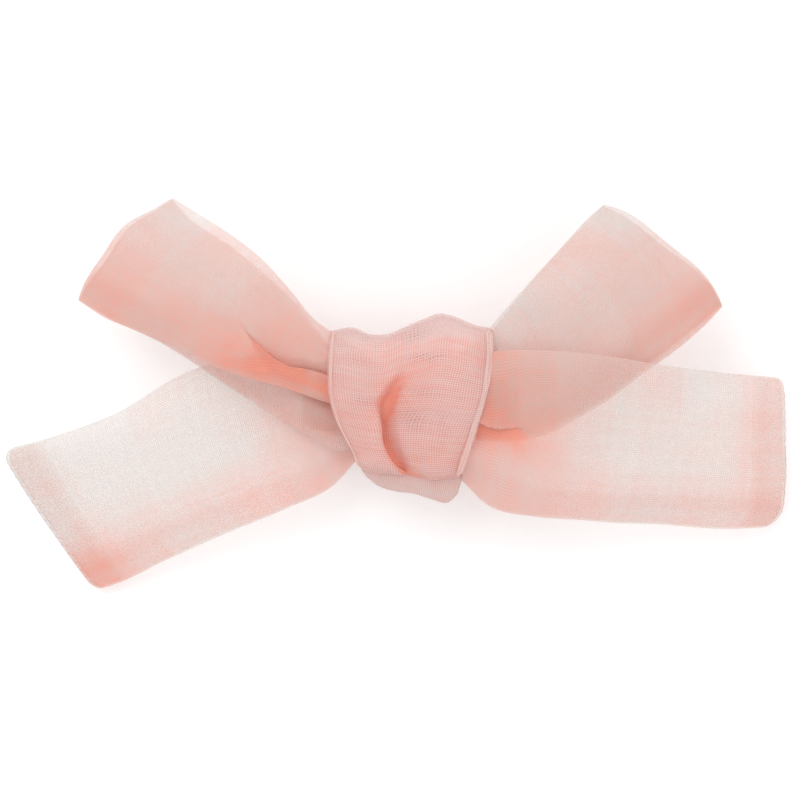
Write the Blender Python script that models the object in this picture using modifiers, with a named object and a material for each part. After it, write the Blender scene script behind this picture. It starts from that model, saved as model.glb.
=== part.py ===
"""Hair bow tied from one double strip of sheer organza, on a small steel alligator clip.

Frame: metres, +Z out of the bow's face, +X along its width, +Y towards the two loops.
The origin is on the flat underside of the clip's lower jaw, below the knot.
"""

import math

import bmesh
import bpy
import numpy as np
from mathutils import Matrix, Vector

MM = 0.001

# Ribbon
RIBBON_THICK = 0.8          # two plies with the air between them
LOOP_STEPS = 60
TAIL_STEPS = 26
ACROSS_STEPS = 10
KNOT_STEPS = 40
KNOT_ACROSS = 14
KNOT_THICK = 0.9
KNOT_FLOOR = 7.0            # underside of the knot, on the glue
THREAD_R = 0.14

# Clip
PLATE = 0.5                 # sheet steel
CLIP_REAR = -17.5
CLIP_TIP = 17.5
TOP_Z = 5.5                 # underside of the upper jaw
TOP_HALF = 4.2
LOW_HALF = 3.4
PIN_X = -6.0
PIN_Z = 3.0
PIN_R = 0.75
PIN_CLEAR = 0.05
EAR_R = 1.95
HEEL_X = 4.0                # where the lower jaw starts to rise
TIP_RISE = 4.1
TOOTH_PITCH = 1.5
TOOTH_DEEP = 0.8
WIRE_R = 0.3
COIL_R = 1.4
COIL_TURNS = 5

# Edges of the ribbon's runs, x y z in mm, from the knot outwards (and back, on a loop)
LEFT_LOOP = {
    "upper": [(-5.5, 7.0, 13.2), (-12.0, 8.6, 13.6), (-15.2, 13.2, 14.6), (-19.0, 18.2, 16.2),
              (-24.0, 23.2, 17.5), (-29.3, 27.4, 17.9), (-35.8, 31.6, 15.9), (-38.2, 32.8, 12.9),
              (-35.2, 29.8, 10.4), (-28.0, 23.0, 9.8), (-20.0, 14.5, 10.1), (-12.5, 7.0, 10.7),
              (-5.5, 3.5, 10.8)],
    "middle": [(-5.5, 3.5, 13.4), (-12.8, 6.2, 14.3), (-20.0, 10.0, 17.0), (-27.5, 15.0, 19.0),
               (-35.0, 20.0, 19.2), (-43.2, 24.6, 16.6), (-46.2, 26.4, 12.6), (-42.6, 23.0, 9.0),
               (-34.0, 16.0, 8.6), (-24.0, 8.0, 9.4), (-13.5, 0.5, 10.5), (-5.5, -1.5, 10.8)],
    "lower": [(-5.5, -1.0, 12.9), (-13.3, 0.3, 13.4), (-21.0, 2.8, 14.8), (-30.4, 5.9, 15.9),
              (-39.5, 10.2, 15.9), (-49.5, 14.4, 14.4), (-53.2, 17.0, 12.2), (-49.5, 14.3, 9.9),
              (-40.0, 9.6, 8.9), (-30.0, 3.2, 9.2), (-17.5, -4.4, 10.2), (-11.0, -6.8, 10.7),
              (-5.5, -6.4, 10.8)],
}
RIGHT_LOOP = {
    "upper": [(5.5, 7.2, 12.2), (11.2, 9.2, 12.6), (14.6, 14.6, 13.6), (21.0, 21.6, 15.9),
              (25.9, 26.5, 16.4), (29.6, 30.4, 14.8), (30.9, 31.6, 12.4), (29.4, 30.2, 10.0),
              (24.5, 25.0, 9.2), (18.0, 18.0, 9.2), (11.6, 8.8, 9.5), (5.5, 6.0, 9.7)],
    "middle": [(5.5, 2.0, 12.1), (13.0, 3.8, 12.4), (19.5, 8.0, 13.6), (26.5, 13.2, 16.0),
               (33.5, 18.5, 17.6), (39.8, 23.0, 15.6), (41.8, 24.4, 12.2), (39.4, 22.6, 8.9),
               (32.5, 16.8, 8.1), (23.5, 9.6, 8.4), (13.5, 2.8, 9.2), (5.5, 1.5, 9.6)],
    "lower": [(5.5, -4.6, 11.8), (14.0, -5.9, 11.5), (22.0, -4.9, 11.4), (30.0, -0.4, 11.8),
              (39.0, 6.2, 12.9), (47.2, 12.9, 12.9), (50.0, 15.6, 11.2), (46.8, 12.6, 9.2),
              (38.5, 6.0, 8.4), (29.5, -0.6, 8.3), (14.5, -5.6, 8.9), (5.5, -4.8, 9.3)],
}
LEFT_TAIL = {
    "upper": [(-5.5, 5.5, 8.7), (-13.0, 6.6, 8.6), (-25.0, 8.2, 8.0), (-34.8, 5.8, 7.2),
              (-48.5, -1.7, 4.6), (-58.6, -5.6, 2.5), (-64.9, -8.4, 1.3)],
    "middle": [(-5.5, -0.5, 8.6), (-13.0, -2.0, 8.5), (-24.0, -4.6, 7.8), (-34.6, -8.6, 6.7),
               (-46.2, -13.4, 4.3), (-54.6, -17.0, 2.3), (-59.2, -19.0, 1.1)],
    "lower": [(-5.5, -5.6, 9.2), (-9.6, -6.6, 9.2), (-12.6, -11.6, 8.7), (-20.0, -16.6, 7.6),
              (-30.0, -21.0, 6.2),
              (-40.0, -25.4, 4.0), (-47.6, -28.8, 2.2), (-51.2, -29.9, 1.2)],
}
RIGHT_TAIL = {
    "upper": [(5.5, 6.4, 14.4), (12.5, 8.0, 15.2), (21.5, 8.6, 16.7), (31.0, 7.7, 17.0),
              (40.0, 6.4, 15.6), (51.0, 5.1, 10.0), (60.9, 3.2, 4.2)],
    "middle": [(5.5, -1.5, 14.4), (12.5, -3.0, 14.7), (22.0, -5.0, 14.8), (32.0, -6.0, 14.2),
               (41.5, -6.8, 12.0), (51.5, -7.2, 7.6), (61.3, -7.4, 3.0)],
    "lower": [(5.5, -9.8, 12.6), (8.6, -11.6, 12.4), (12.6, -15.4, 11.8), (20.0, -17.8, 11.0), (30.0, -18.7, 9.6),
              (40.0, -19.3, 7.6), (50.6, -19.8, 4.8), (60.3, -18.6, 2.1)],
}

# The knot's two ends of travel, left to right: its top fold and its bottom fold
KNOT_TOP = [(-12.7, 11.9), (-9.6, 12.2), (-6.1, 11.6), (-3.0, 11.6), (-0.6, 12.8), (2.4, 13.9),
            (4.4, 14.7), (8.1, 13.6), (10.5, 12.8), (12.9, 12.3)]
KNOT_BOTTOM = [(-8.9, -9.2), (-7.4, -11.0), (-5.6, -12.0), (-3.8, -12.7), (-1.6, -13.3),
               (0.6, -13.9), (2.6, -14.4), (4.6, -15.0), (6.1, -15.2), (7.2, -14.6)]
KNOT_SIDES = [-12.9, 11.9]   # how far the two edges stand out half-way down
KNOT_CREST = [15.9, 17.2, 18.0, 17.6, 16.4, 16.6, 18.4, 19.2, 18.9, 17.4]


def new_collection(name):
    """A collection of the scene that holds one kind of object."""
    collection = bpy.data.collections.new(name)
    bpy.context.scene.collection.children.link(collection)
    return collection


def paint(name, colour, roughness, metallic=0.0):
    """A plain Principled material."""
    material = bpy.data.materials.new(name)
    material.use_nodes = True
    shader = material.node_tree.nodes["Principled BSDF"]
    shader.inputs["Base Color"].default_value = (*colour, 1.0)
    shader.inputs["Roughness"].default_value = roughness
    shader.inputs["Metallic"].default_value = metallic
    return material


def adopt(obj, name, material, collection):
    """Name an object, give it its material and put it in its collection."""
    obj.name = name
    obj.data.name = name
    obj.data.materials.clear()
    obj.data.materials.append(material)
    for old in list(obj.users_collection):
        old.objects.unlink(obj)
    collection.objects.link(obj)
    return obj


def apply_modifiers(obj):
    """Apply every modifier of one object."""
    bpy.ops.object.select_all(action="DESELECT")
    obj.select_set(True)
    bpy.context.view_layer.objects.active = obj
    for modifier in list(obj.modifiers):
        bpy.ops.object.modifier_apply(modifier=modifier.name)


def clean_mesh(obj):
    """Merge doubles and turn the faces outwards."""
    work = bmesh.new()
    work.from_mesh(obj.data)
    bmesh.ops.remove_doubles(work, verts=work.verts, dist=0.00001)
    bmesh.ops.recalc_face_normals(work, faces=work.faces)
    work.to_mesh(obj.data)
    work.free()


def spline(points, at):
    """A smooth curve through points, at a share 0 to 1 of its length."""
    pts = np.array(points, dtype=float)
    steps = np.linalg.norm(np.diff(pts, axis=0), axis=1)
    knots = np.concatenate([[0.0], np.cumsum(steps)])
    knots = knots / knots[-1]
    slopes = np.gradient(pts, knots, axis=0)
    where = float(np.clip(at, 0.0, 1.0))
    i = int(np.clip(np.searchsorted(knots, where, side="right") - 1, 0, len(pts) - 2))
    span = knots[i + 1] - knots[i]
    t = (where - knots[i]) / span
    a = (1 + 2 * t) * (1 - t) ** 2
    b = t * (1 - t) ** 2 * span
    c = t * t * (3 - 2 * t)
    d = t * t * (t - 1) * span
    return a * pts[i] + b * slopes[i] + c * pts[i + 1] + d * slopes[i + 1]


def run_point(run, along, across):
    """A point of a ribbon run: along 0 to 1 from its start, across 0 to 1 from its lower edge."""
    low = spline(run["lower"], along)
    mid = spline(run["middle"], along)
    high = spline(run["upper"], along)
    a = (across - 0.5) * (across - 1.0) * 2.0
    b = across * (1.0 - across) * 4.0
    c = across * (across - 0.5) * 2.0
    return a * low + b * mid + c * high


def round_corner(run, along, across, radius):
    """Pull the corners of a tail's free end in to a small curve."""
    width = 25.4
    edge = min(across, 1.0 - across) * width
    if edge >= radius:
        return along
    dip = radius - math.sqrt(max(radius ** 2 - (radius - edge) ** 2, 0.0))
    length = 60.0
    return along * (1.0 - dip / length)


def ribbon(name, run, steps, material, collection, corner=0.0):
    """A ribbon run as a grid moved onto its route and thickened."""
    bpy.ops.mesh.primitive_grid_add(x_subdivisions=steps, y_subdivisions=ACROSS_STEPS, size=2.0)
    obj = bpy.context.active_object
    for vert in obj.data.vertices:
        along = (vert.co.x + 1.0) / 2.0
        across = (vert.co.y + 1.0) / 2.0
        if corner:
            along = round_corner(run, along, across, corner)
        vert.co = Vector(run_point(run, along, across)) * MM
    solid = obj.modifiers.new("thickness", "SOLIDIFY")
    solid.thickness = RIBBON_THICK * MM
    solid.offset = 0.0
    solid.use_even_offset = False
    apply_modifiers(obj)
    clean_mesh(obj)
    return adopt(obj, name, material, collection)


def knot_point(around, across):
    """A point of the knot's middle surface: around 0 to 1 from its top fold over the face."""
    top = spline(KNOT_TOP, across)
    bottom = spline(KNOT_BOTTOM, across)
    crest = np.interp(across, np.linspace(0.0, 1.0, len(KNOT_CREST)), KNOT_CREST)
    half = KNOT_THICK / 2
    floor = KNOT_FLOOR + half
    angle = around * 2.0 * math.pi
    down = 0.5 - 0.5 * math.copysign(abs(math.cos(angle)) ** 0.6, math.cos(angle))
    lift = math.copysign(abs(math.sin(angle)) ** 0.5, math.sin(angle))
    middle = (floor + crest) / 2
    x = top[0] + (bottom[0] - top[0]) * down
    side = np.interp(across, [0.0, 1.0], KNOT_SIDES)
    straight = (top[0] + bottom[0]) / 2
    x += (side - straight) * 4.0 * down * (1.0 - down) * abs(across * 2 - 1) ** 1.5
    y = top[1] + (bottom[1] - top[1]) * down
    z = middle + lift * (crest - floor) / 2
    return x, y, z


def knot(name, material, collection):
    """The wrap round the middle: a sleeve open at its two sides, and thickened."""
    bpy.ops.mesh.primitive_cylinder_add(vertices=KNOT_STEPS, radius=1.0, depth=2.0,
                                        end_fill_type="NOTHING")
    obj = bpy.context.active_object
    work = bmesh.new()
    work.from_mesh(obj.data)
    upright = [e for e in work.edges if abs(e.verts[0].co.z - e.verts[1].co.z) > 1.0]
    bmesh.ops.subdivide_edges(work, edges=upright, cuts=KNOT_ACROSS - 1, use_grid_fill=True)
    for vert in work.verts:
        around = (math.atan2(vert.co.y, vert.co.x) / (2.0 * math.pi)) % 1.0
        across = (vert.co.z + 1.0) / 2.0
        vert.co = Vector(knot_point(around, across)) * MM
    work.to_mesh(obj.data)
    work.free()
    clean_mesh(obj)
    solid = obj.modifiers.new("thickness", "SOLIDIFY")
    solid.thickness = KNOT_THICK * MM
    solid.offset = 0.0
    apply_modifiers(obj)
    clean_mesh(obj)
    return adopt(obj, name, material, collection)


def core(name, material, collection):
    """The gathered ribbon inside the knot, flattened by the wrap."""
    bpy.ops.mesh.primitive_cube_add(size=1.0)
    obj = bpy.context.active_object
    obj.scale = (9.4 * MM, 16.0 * MM, 6.2 * MM)
    obj.location = (0.0, -0.6 * MM, 11.4 * MM)
    bpy.ops.object.transform_apply(location=True, rotation=False, scale=True)
    bevel = obj.modifiers.new("soft", "BEVEL")
    bevel.width = 2.2 * MM
    bevel.segments = 4
    apply_modifiers(obj)
    return adopt(obj, name, material, collection)


def wire(name, points, radius, material, collection, sides=2):
    """A round wire or thread through points given in mm."""
    curve = bpy.data.curves.new(name, "CURVE")
    curve.dimensions = "3D"
    curve.bevel_depth = radius * MM
    curve.bevel_resolution = sides
    curve.use_fill_caps = True
    line = curve.splines.new("POLY")
    line.points.add(len(points) - 1)
    for point, place in zip(line.points, points):
        point.co = (place[0] * MM, place[1] * MM, place[2] * MM, 1.0)
    guide = bpy.data.objects.new(name + "_line", curve)
    collection.objects.link(guide)
    mesh = bpy.data.meshes.new_from_object(guide.evaluated_get(
        bpy.context.evaluated_depsgraph_get()))
    obj = bpy.data.objects.new(name, mesh)
    collection.objects.link(obj)
    bpy.data.objects.remove(guide)
    clean_mesh(obj)
    return adopt(obj, name, material, collection)


def end_stitches(name, run, material, collection):
    """The thread that closes a tail's free end, whipped along the fold."""
    count = 33
    points = []
    for i in range(count):
        across = 0.10 + 0.80 * i / (count - 1)
        edge = Vector(run_point(run, 1.0, across))
        inner = Vector(run_point(run, 0.97, across))
        out = (edge - inner).normalized()
        rise = 0.26 if i % 2 else -0.26
        points.append(edge + out * 0.36 + Vector((0.0, 0.0, rise)))
    return wire(name, points, THREAD_R, material, collection, sides=1)


def extrude_outline(name, points, low, high, collection):
    """A side outline given as x z in mm, filled and run out along Y from low to high."""
    curve = bpy.data.curves.new(name, "CURVE")
    curve.dimensions = "2D"
    curve.fill_mode = "BOTH"
    curve.extrude = (high - low) / 2 * MM
    line = curve.splines.new("POLY")
    line.points.add(len(points) - 1)
    for point, place in zip(line.points, points):
        point.co = (place[0] * MM, place[1] * MM, 0.0, 1.0)
    line.use_cyclic_u = True
    guide = bpy.data.objects.new(name + "_outline", curve)
    collection.objects.link(guide)
    guide.matrix_world = Matrix.Translation((0.0, (low + high) / 2 * MM, 0.0)) @ Matrix.Rotation(
        math.pi / 2, 4, "X")
    bpy.context.view_layer.update()
    mesh = bpy.data.meshes.new_from_object(guide.evaluated_get(
        bpy.context.evaluated_depsgraph_get()))
    mesh.transform(guide.matrix_world)
    obj = bpy.data.objects.new(name, mesh)
    collection.objects.link(obj)
    bpy.data.objects.remove(guide)
    clean_mesh(obj)
    return obj


def combine(obj, others, operation):
    """Join or cut one object with others, and remove them."""
    for other in others:
        modifier = obj.modifiers.new("combine", "BOOLEAN")
        modifier.operation = operation
        modifier.solver = "EXACT"
        modifier.object = other
        apply_modifiers(obj)
        bpy.data.objects.remove(other)
    clean_mesh(obj)
    return obj


def pin_drill(collection, radius):
    """A cutter along the hinge pin."""
    bpy.ops.mesh.primitive_cylinder_add(vertices=32, radius=radius * MM, depth=14 * MM,
                                        location=(PIN_X * MM, 0.0, PIN_Z * MM),
                                        rotation=(math.pi / 2, 0.0, 0.0))
    obj = bpy.context.active_object
    for old in list(obj.users_collection):
        old.objects.unlink(obj)
    collection.objects.link(obj)
    obj.hide_render = True
    obj.display_type = "WIRE"
    return obj


def ear_outline(reach, radius, downwards):
    """A rounded ear round the pin, joined to a plate at height reach."""
    turn = -1.0 if downwards else 1.0
    points = [(PIN_X - radius - 0.9, reach), (PIN_X - radius, PIN_Z)]
    for i in range(1, 12):
        angle = math.pi * i / 12
        points.append((PIN_X - radius * math.cos(angle),
                       PIN_Z + turn * radius * math.sin(angle)))
    points += [(PIN_X + radius, PIN_Z), (PIN_X + radius + 0.9, reach)]
    return points


def top_jaw(material, collection, cutters):
    """The flat upper jaw that carries the bow, with two ears for the pin."""
    bpy.ops.mesh.primitive_cube_add(size=1.0)
    obj = bpy.context.active_object
    obj.scale = ((CLIP_TIP - CLIP_REAR) * MM, 2 * TOP_HALF * MM, PLATE * MM)
    obj.location = ((CLIP_TIP + CLIP_REAR) / 2 * MM, 0.0, (TOP_Z + PLATE / 2) * MM)
    bpy.ops.object.transform_apply(location=True, rotation=False, scale=True)
    work = bmesh.new()
    work.from_mesh(obj.data)
    corners = [e for e in work.edges if abs(e.verts[0].co.z - e.verts[1].co.z) > 0.0002]
    bmesh.ops.bevel(work, geom=corners, offset=2.6 * MM, segments=6, profile=0.5,
                    affect="EDGES")
    work.to_mesh(obj.data)
    work.free()
    ears = []
    for side in (-1, 1):
        low, high = sorted((side * (TOP_HALF - PLATE - 0.05), side * (TOP_HALF - 0.05)))
        ears.append(extrude_outline("ear", ear_outline(TOP_Z + 0.2, EAR_R, True), low, high,
                                    cutters))
    combine(obj, ears, "UNION")
    combine(obj, [pin_drill(cutters, PIN_R + PIN_CLEAR)], "DIFFERENCE")
    return adopt(obj, "clip_top_jaw", material, collection)


def jaw_profile():
    """The lower jaw's plate seen from the side, as x z."""
    nose = (CLIP_TIP - 0.6, TIP_RISE)
    return [(CLIP_REAR, 0.0), (HEEL_X, 0.0), nose, (nose[0] - 0.2, nose[1] + PLATE),
            (HEEL_X - 0.1, PLATE), (CLIP_REAR, PLATE)]


def flange_profile():
    """A side wall of the lower jaw: a rounded ear at the pin and a row of teeth in front."""
    top = TOP_Z - 0.25
    points = [(PIN_X - EAR_R - 0.4, 0.2), (PIN_X - EAR_R, PIN_Z - 0.6)]
    for i in range(1, 12):
        angle = math.pi * i / 12
        points.append((PIN_X - EAR_R * math.cos(angle), PIN_Z + EAR_R * math.sin(angle)))
    points.append((PIN_X + EAR_R + 1.2, PIN_Z))
    x = 3.0
    points.append((x, top - TOOTH_DEEP - 1.0))
    while x < CLIP_TIP - 3.0:
        points.append((x + TOOTH_PITCH * 0.45, top))
        points.append((x + TOOTH_PITCH, top - TOOTH_DEEP))
        x += TOOTH_PITCH
    points.append((CLIP_TIP - 1.4, TIP_RISE + 0.1))
    points.append((HEEL_X, 0.2))
    return points


def bottom_jaw(material, collection, cutters):
    """The lower jaw and its finger lever: a bent plate with toothed side walls."""
    obj = extrude_outline("clip_bottom_jaw", jaw_profile(), -LOW_HALF, LOW_HALF, collection)
    walls = []
    for side in (-1, 1):
        low, high = sorted((side * (LOW_HALF - PLATE - 0.05), side * (LOW_HALF - 0.05)))
        walls.append(extrude_outline("wall", flange_profile(), low, high, cutters))
    combine(obj, walls, "UNION")
    combine(obj, [pin_drill(cutters, PIN_R + PIN_CLEAR)], "DIFFERENCE")
    return adopt(obj, "clip_bottom_jaw", material, collection)


def hinge_pin(material, collection):
    """The pin, turned with a small head at each end."""
    end = TOP_HALF + 0.65
    neck = TOP_HALF + 0.12
    profile = [(0.0, end), (0.8, end), (1.1, end - 0.2), (1.1, neck), (PIN_R, neck),
               (PIN_R, -neck), (1.1, -neck), (1.1, -end + 0.2), (0.8, -end), (0.0, -end)]
    mesh = bpy.data.meshes.new("pin_profile")
    mesh.from_pydata([(x * MM, 0.0, z * MM) for x, z in profile],
                     [(i, i + 1) for i in range(len(profile) - 1)], [])
    obj = bpy.data.objects.new("clip_pin", mesh)
    collection.objects.link(obj)
    screw = obj.modifiers.new("turn", "SCREW")
    screw.axis = "Z"
    screw.steps = 28
    screw.render_steps = 28
    screw.use_merge_vertices = True
    screw.merge_threshold = 0.00001
    apply_modifiers(obj)
    obj.data.transform(Matrix.Translation((PIN_X * MM, 0.0, PIN_Z * MM))
                       @ Matrix.Rotation(math.pi / 2, 4, "X"))
    clean_mesh(obj)
    return adopt(obj, "clip_pin", material, collection)


def torsion_spring(material, collection):
    """The coil round the pin, with one leg under the upper jaw and one on the lever."""
    half = 2.2
    upper = TOP_Z - WIRE_R - 0.08
    lower = PLATE + WIRE_R + 0.08
    points = [(-15.0, -half, lower), (-13.8, -half, lower)]
    turns = COIL_TURNS * 16 + 8
    for i in range(turns + 1):
        share = i / turns
        angle = -math.pi / 2 + 2 * math.pi * (COIL_TURNS + 0.5) * share
        points.append((PIN_X + COIL_R * math.cos(angle), -half + 2 * half * share,
                       PIN_Z + COIL_R * math.sin(angle)))
    points += [(-13.8, half, upper), (-15.0, half, upper)]
    return wire("clip_spring", points, WIRE_R, material, collection)


def glue_dab(material, collection):
    """The flattened line of glue between the upper jaw and the knot."""
    low = TOP_Z + PLATE + 0.1
    high = KNOT_FLOOR - 0.15
    bpy.ops.mesh.primitive_cube_add(size=1.0)
    obj = bpy.context.active_object
    obj.scale = (15.0 * MM, 6.4 * MM, (high - low) * MM)
    obj.location = (-1.0 * MM, -0.6 * MM, (low + high) / 2 * MM)
    bpy.ops.object.transform_apply(location=True, rotation=False, scale=True)
    work = bmesh.new()
    work.from_mesh(obj.data)
    corners = [e for e in work.edges if abs(e.verts[0].co.z - e.verts[1].co.z) > 0.0002]
    bmesh.ops.bevel(work, geom=corners, offset=2.8 * MM, segments=6, profile=0.5,
                    affect="EDGES")
    work.to_mesh(obj.data)
    work.free()
    return adopt(obj, "glue_dab", material, collection)


def build():
    for obj in list(bpy.data.objects):
        bpy.data.objects.remove(obj)
    parts = new_collection("hair_bow")
    cutters = new_collection("cutters")

    organza = paint("organza", (0.82, 0.62, 0.57), 0.75)
    folded = paint("organza_folded", (0.80, 0.50, 0.45), 0.75)
    thread = paint("thread", (0.86, 0.72, 0.68), 0.65)
    steel = paint("nickel_steel", (0.62, 0.62, 0.63), 0.28, 1.0)
    spring_steel = paint("spring_steel", (0.42, 0.42, 0.44), 0.35, 1.0)
    glue = paint("glue", (0.82, 0.80, 0.74), 0.35)

    ribbon("left_tail", LEFT_TAIL, TAIL_STEPS, organza, parts, corner=2.6)
    ribbon("right_tail", RIGHT_TAIL, TAIL_STEPS, organza, parts, corner=2.2)
    ribbon("left_loop", LEFT_LOOP, LOOP_STEPS, organza, parts)
    ribbon("right_loop", RIGHT_LOOP, LOOP_STEPS, organza, parts)
    knot("knot_wrap", folded, parts)
    core("knot_core", folded, parts)
    end_stitches("left_end_stitches", LEFT_TAIL, thread, parts)
    end_stitches("right_end_stitches", RIGHT_TAIL, thread, parts)
    glue_dab(glue, parts)
    top_jaw(steel, parts, cutters)
    bottom_jaw(steel, parts, cutters)
    hinge_pin(steel, parts)
    torsion_spring(spring_steel, parts)


build()
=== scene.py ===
"""The looks of the hair bow: sheer double ribbon, its seam turnings, knot, thread and clip.

Lengths are in mm until set_points and wire turn them into metres.
"""

import math

import bpy
import numpy as np
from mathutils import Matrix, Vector


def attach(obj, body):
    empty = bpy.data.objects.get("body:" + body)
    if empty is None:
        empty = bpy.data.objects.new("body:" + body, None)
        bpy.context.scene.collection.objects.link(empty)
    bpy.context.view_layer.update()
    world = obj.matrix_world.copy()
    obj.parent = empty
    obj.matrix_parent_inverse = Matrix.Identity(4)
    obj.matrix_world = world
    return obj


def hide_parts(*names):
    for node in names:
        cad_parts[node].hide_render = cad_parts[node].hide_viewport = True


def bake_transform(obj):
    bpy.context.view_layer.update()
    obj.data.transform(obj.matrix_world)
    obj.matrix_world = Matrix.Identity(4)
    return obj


MM = 0.001
WIDTH = 25.4              # the finished ribbon
TURNING = 6.35            # seam allowance inside the long edge and the ends
PLY_GAP = 0.62            # between the two plies, in the open
TURNING_GAP = 0.20        # between the two layers of the turning
STITCH_R = 0.07
THROUGH = 0.06            # share of the light that the yarns pass on instead of throwing back
YARN_PITCH = 0.34
OPEN_PITCH = 0.52         # where the knot's weave is pulled open
WRAP_LENGTH = 66.0        # once round the knot
FULL_TURN = 6.283
SMALL_STEP = 0.004        # share of a run that its slopes are measured over

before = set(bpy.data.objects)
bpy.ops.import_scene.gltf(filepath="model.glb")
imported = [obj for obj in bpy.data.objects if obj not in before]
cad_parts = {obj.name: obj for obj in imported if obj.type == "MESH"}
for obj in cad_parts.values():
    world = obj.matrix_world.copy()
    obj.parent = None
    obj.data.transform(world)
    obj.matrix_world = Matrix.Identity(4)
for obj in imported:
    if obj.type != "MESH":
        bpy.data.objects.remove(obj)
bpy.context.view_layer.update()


# ---------------------------------------------------------------- working with objects

def alone(obj):
    """Select one object only."""
    for other in bpy.context.selected_objects:
        other.select_set(False)
    obj.select_set(True)
    bpy.context.view_layer.objects.active = obj


def let_go():
    """Deselect everything before a new primitive."""
    for other in bpy.context.selected_objects:
        other.select_set(False)


def merge_doubles(obj, distance=0.02):
    """Merge what lies together, in mm, and turn the faces outwards."""
    alone(obj)
    bpy.ops.object.mode_set(mode="EDIT")
    bpy.ops.mesh.select_all(action="SELECT")
    bpy.ops.mesh.remove_doubles(threshold=distance * MM)
    bpy.ops.mesh.delete_loose()
    bpy.ops.mesh.select_all(action="SELECT")
    bpy.ops.mesh.normals_make_consistent(inside=False)
    bpy.ops.object.mode_set(mode="OBJECT")


def smooth(obj):
    """Smooth shading all over."""
    alone(obj)
    bpy.ops.object.shade_smooth()


# ---------------------------------------------------------------- curves and surfaces, in mm

def spline(points, at, key=None):
    """A smooth curve through points, at shares of its length or at values of a key column."""
    pts = np.array(points, dtype=float)
    if key is None:
        steps = np.linalg.norm(np.diff(pts, axis=0), axis=1)
        knots = np.concatenate([[0.0], np.cumsum(steps)])
        knots = knots / knots[-1]
    else:
        pts = pts[np.argsort(pts[:, key])]
        knots = pts[:, key]
    slopes = np.gradient(pts, knots, axis=0)
    where = np.clip(np.atleast_1d(at), knots[0], knots[-1])
    i = np.clip(np.searchsorted(knots, where, side="right") - 1, 0, len(pts) - 2)
    span = (knots[i + 1] - knots[i])[:, None]
    t = (where[:, None] - knots[i][:, None]) / span
    return ((1 + 2 * t) * (1 - t) ** 2 * pts[i] + t * (1 - t) ** 2 * span * slopes[i]
            + t * t * (3 - 2 * t) * pts[i + 1] + t * t * (t - 1) * span * slopes[i + 1])


def ease(low, high, value):
    """0 below low, 1 above high, and smooth between."""
    t = np.clip((value - low) / (high - low), 0.0, 1.0)
    return t * t * (3 - 2 * t)


def middle_surface(run, along, across):
    """Points of a ribbon run between its lower edge, middle and upper edge."""
    low = spline(run["lower"], along)
    mid = spline(run["middle"], along)
    high = spline(run["upper"], along)
    v = across[:, None]
    return (2 * (v - 0.5) * (v - 1) * low + 4 * v * (1 - v) * mid + 2 * v * (v - 0.5) * high)


def grid_of(name, rows, columns):
    """A grid primitive with its UV map, and the row and column share of each point."""
    let_go()
    bpy.ops.mesh.primitive_grid_add(x_subdivisions=rows - 1, y_subdivisions=columns - 1, size=2.0)
    obj = bpy.context.active_object
    obj.name = name
    obj.data.name = name
    places = np.empty(len(obj.data.vertices) * 3)
    obj.data.vertices.foreach_get("co", places)
    places = places.reshape(-1, 3)
    return obj, (places[:, 0] + 1) / 2, (places[:, 1] + 1) / 2


def set_points(obj, points):
    """Move every point of a mesh to a place in mm."""
    obj.data.vertices.foreach_set("co", (points * MM).ravel())
    obj.data.update()


def set_uv(obj, along, around):
    """UV in decimetres of cloth: along the run and round the tube."""
    layer = obj.data.uv_layers.active
    corner = np.empty(len(obj.data.loops), dtype=int)
    obj.data.loops.foreach_get("vertex_index", corner)
    layer.data.foreach_set("uv", np.stack([along[corner], around[corner]], axis=1).ravel() / 100)


def set_layers_and_shade(obj, values):
    """How much more cloth lies together at each point than in a plain double ribbon, together with
    painted shade in folds and creases and painted light on shaded back plies.
    """
    attribute = obj.data.attributes.new("layers_and_shade", "FLOAT", "POINT")
    attribute.data.foreach_set("value", values.astype(np.float32))


# ---------------------------------------------------------------- the ribbon's runs

LEFT_LOOP = {
    "upper": [(-5.5, 7.0, 13.2), (-12.0, 11.4, 13.8), (-14.8, 13.6, 14.6), (-19.0, 18.4, 16.2),
              (-24.0, 23.6, 17.5), (-29.3, 27.7, 17.9), (-35.6, 31.7, 15.9), (-38.2, 33.2, 12.9),
              (-36.0, 30.6, 10.4), (-28.5, 25.3, 9.8), (-19.1, 17.1, 10.1), (-12.0, 8.6, 10.7),
              (-5.5, 3.5, 10.8)],
    "middle": [(-5.5, 3.5, 13.4), (-12.8, 6.2, 14.3), (-20.0, 10.0, 16.4), (-27.5, 15.0, 18.4),
               (-35.0, 20.0, 18.6), (-43.6, 25.0, 16.4), (-46.6, 26.8, 12.6), (-43.2, 23.6, 9.4),
               (-34.0, 16.4, 8.8), (-24.0, 8.0, 9.4), (-13.5, 0.5, 10.5), (-5.5, -1.5, 10.8)],
    "lower": [(-5.5, -1.0, 12.9), (-13.3, 0.3, 13.4), (-21.0, 2.8, 14.6), (-30.4, 5.9, 15.4),
              (-39.5, 10.2, 15.4), (-49.5, 14.2, 14.2), (-53.4, 16.9, 12.2), (-49.5, 14.5, 9.9),
              (-40.0, 9.8, 8.9), (-30.0, 3.4, 9.2), (-17.5, -4.4, 10.2), (-11.0, -7.4, 10.7),
              (-5.5, -6.4, 10.8)],
}
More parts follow.
